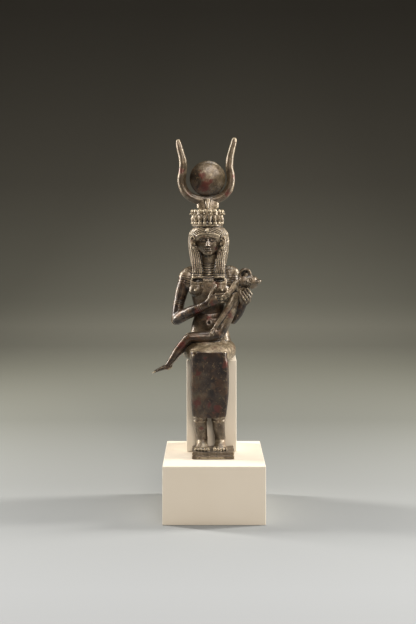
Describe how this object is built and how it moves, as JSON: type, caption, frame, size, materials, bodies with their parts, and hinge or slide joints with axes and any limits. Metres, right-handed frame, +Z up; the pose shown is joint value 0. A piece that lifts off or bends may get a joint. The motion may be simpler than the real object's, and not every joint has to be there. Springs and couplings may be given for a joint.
{
  "type": "isis statue",
  "caption": "Bronze statuette of a seated goddess nursing a child, with a horned disc crown, on a painted seat block and plinth.",
  "frame": {"origin": "centre of the plinth's underside", "axes": "+Z up, along the figure's height; the figure faces -Y; +X is its left hand side, where the child's head lies"},
  "size_m": [0.0831, 0.074, 0.2821],
  "materials": {
    "bronze": "dark brown cast bronze with cuprite red and olive patina",
    "seat_paint": "matt cream paint on wood",
    "plinth_paint": "matt cream paint on wood"
  },
  "bodies": {
    "root": {"mother_and_child": "bronze", "seat_block": "seat_paint", "plinth_block": "plinth_paint"}
  },
  "joints": []
}
